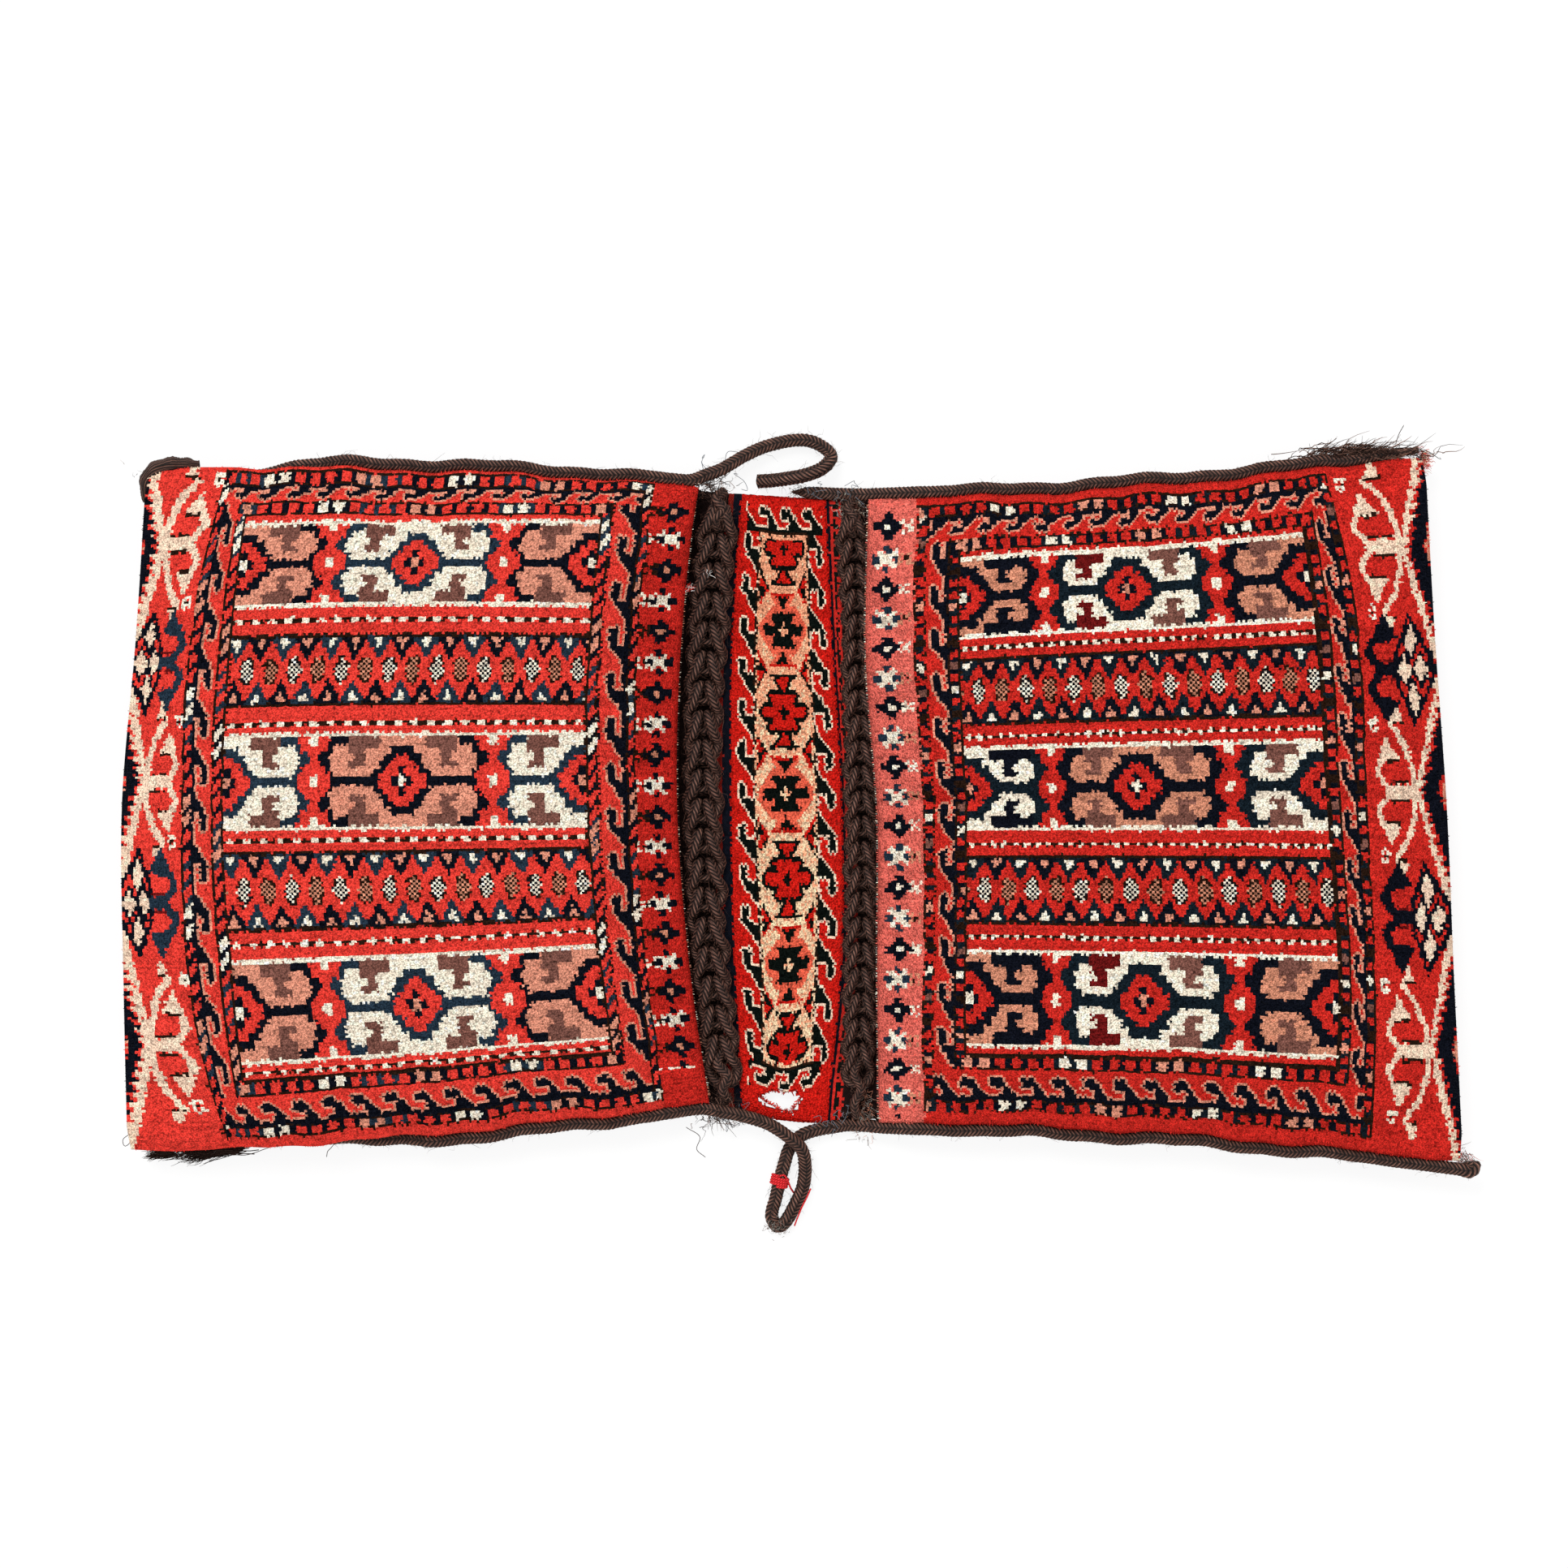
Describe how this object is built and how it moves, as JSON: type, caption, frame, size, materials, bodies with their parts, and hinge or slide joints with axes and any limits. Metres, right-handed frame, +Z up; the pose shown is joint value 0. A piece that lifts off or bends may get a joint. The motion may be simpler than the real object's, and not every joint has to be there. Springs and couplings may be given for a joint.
{
  "type": "knotted-pile saddle bag",
  "caption": "Pair of stuffed pile-woven saddle bags joined by a narrow bridge, each mouth laced shut by a chain of goat-hair loops, with plaited edge cords.",
  "frame": {"origin": "on the floor under the middle of the bag's plan, cords that lie free left out", "axes": "+X along the bag from the left pouch to the right pouch, +Y across it towards the loose cord end, +Z up from the floor"},
  "size_m": [1.1183, 0.6611, 0.0919],
  "materials": {
    "pile_cloth": "knotted wool pile, red ground with cream, peach, brown and blue-black patterns; plain weave underneath",
    "goat_hair": "plaited dark brown goat hair, slightly shiny, hairy",
    "red_yarn": "twisted red wool yarn"
  },
  "bodies": {
    "root": {"bag_cloth": "pile_cloth", "bottom_carry_loop": "goat_hair", "bottom_left_edge_cord": "goat_hair", "bottom_right_edge_cord": "goat_hair", "left_closure_loop_01": "goat_hair", "left_closure_loop_02": "goat_hair", "left_closure_loop_03": "goat_hair", "left_closure_loop_04": "goat_hair", "left_closure_loop_05": "goat_hair", "left_closure_loop_06": "goat_hair", "left_closure_loop_07": "goat_hair", "left_closure_loop_08": "goat_hair", "left_closure_loop_09": "goat_hair", "left_closure_loop_10": "goat_hair", "left_closure_loop_11": "goat_hair", "left_closure_loop_12": "goat_hair", "left_closure_loop_13": "goat_hair", "left_closure_loop_14": "goat_hair", "left_closure_loop_15": "goat_hair", "left_closure_loop_16": "goat_hair", "left_closure_loop_17": "goat_hair", "left_closure_loop_18": "goat_hair", "left_closure_loop_19": "goat_hair", "red_yarn_tie": "red_yarn", "right_closure_loop_01": "goat_hair", "right_closure_loop_02": "goat_hair", "right_closure_loop_03": "goat_hair", "right_closure_loop_04": "goat_hair", "right_closure_loop_05": "goat_hair", "right_closure_loop_06": "goat_hair", "right_closure_loop_07": "goat_hair", "right_closure_loop_08": "goat_hair", "right_closure_loop_09": "goat_hair", "right_closure_loop_10": "goat_hair", "right_closure_loop_11": "goat_hair", "right_closure_loop_12": "goat_hair", "right_closure_loop_13": "goat_hair", "right_closure_loop_14": "goat_hair", "right_closure_loop_15": "goat_hair", "right_closure_loop_16": "goat_hair", "right_closure_loop_17": "goat_hair", "right_closure_loop_18": "goat_hair", "right_closure_loop_19": "goat_hair", "right_closure_loop_20": "goat_hair", "right_closure_loop_21": "goat_hair", "right_closure_loop_22": "goat_hair", "top_left_edge_cord": "goat_hair", "top_loose_end": "goat_hair", "top_right_edge_cord": "goat_hair"}
  },
  "joints": []
}
